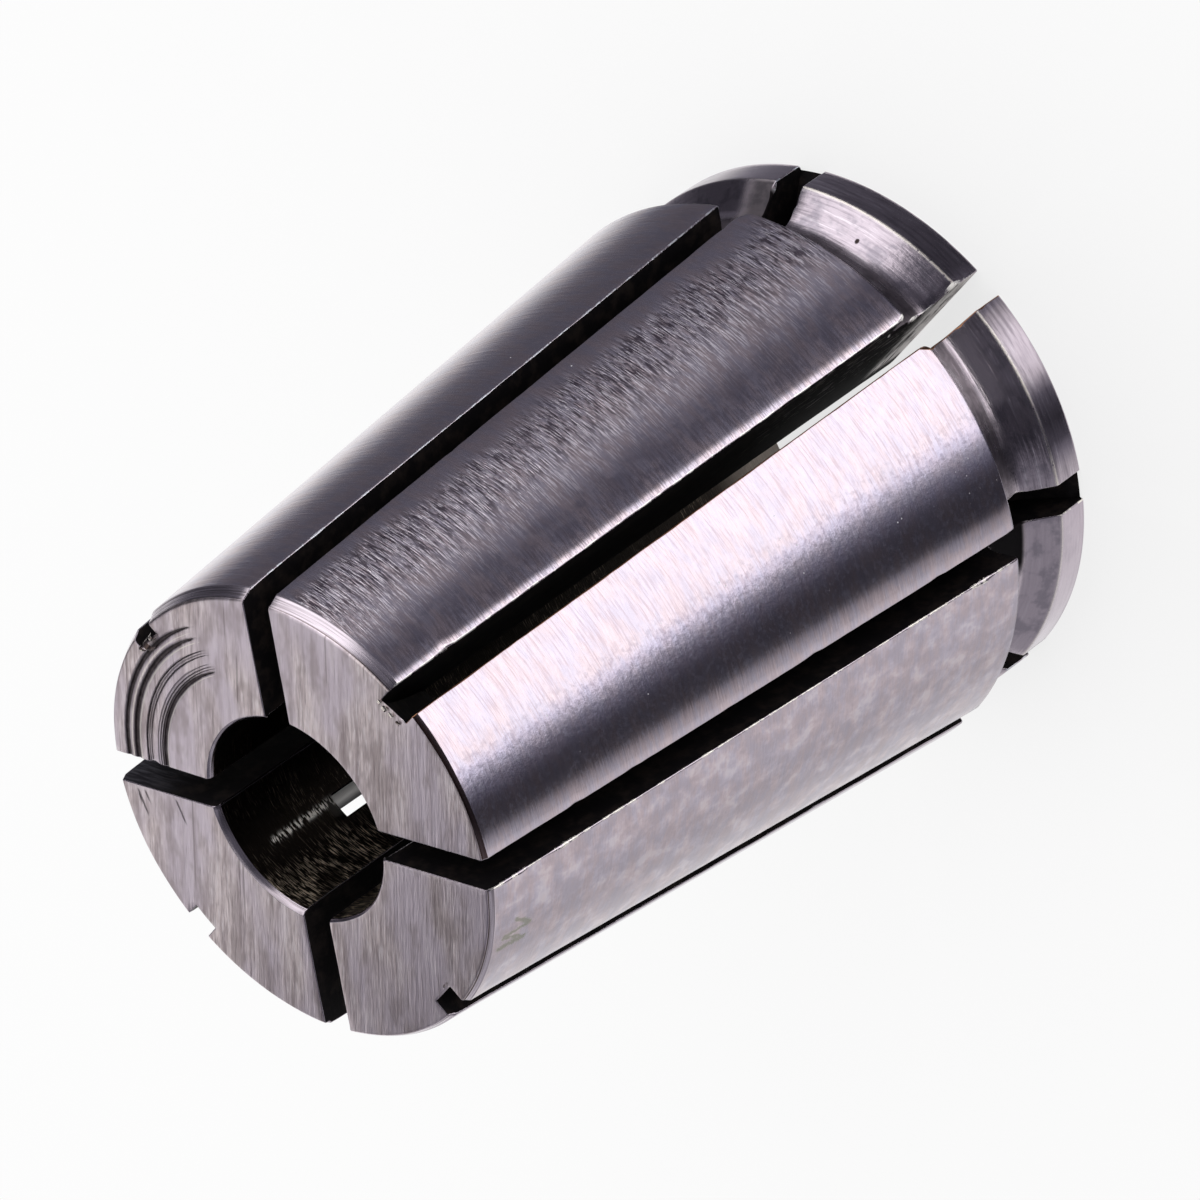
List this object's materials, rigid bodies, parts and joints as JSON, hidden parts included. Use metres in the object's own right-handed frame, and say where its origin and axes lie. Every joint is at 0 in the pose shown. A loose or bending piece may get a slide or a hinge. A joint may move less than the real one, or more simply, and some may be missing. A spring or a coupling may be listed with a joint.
{
  "type": "die grinder collet",
  "caption": "Slit steel collet with a tapered seat, a nut groove and rim at the large end, and a through bore that closes on a tool shank.",
  "frame": {"origin": "centre of the large-end face, on the bore's axis", "axes": "+Z along the bore's axis from the large end to the small end; -Y through the middle of a slit that is open at the large end"},
  "size_m": [0.0168, 0.0168, 0.0235],
  "materials": {
    "collet": "ground and turned bare spring steel"
  },
  "bodies": {
    "root": {"collet": "collet"}
  },
  "joints": []
}
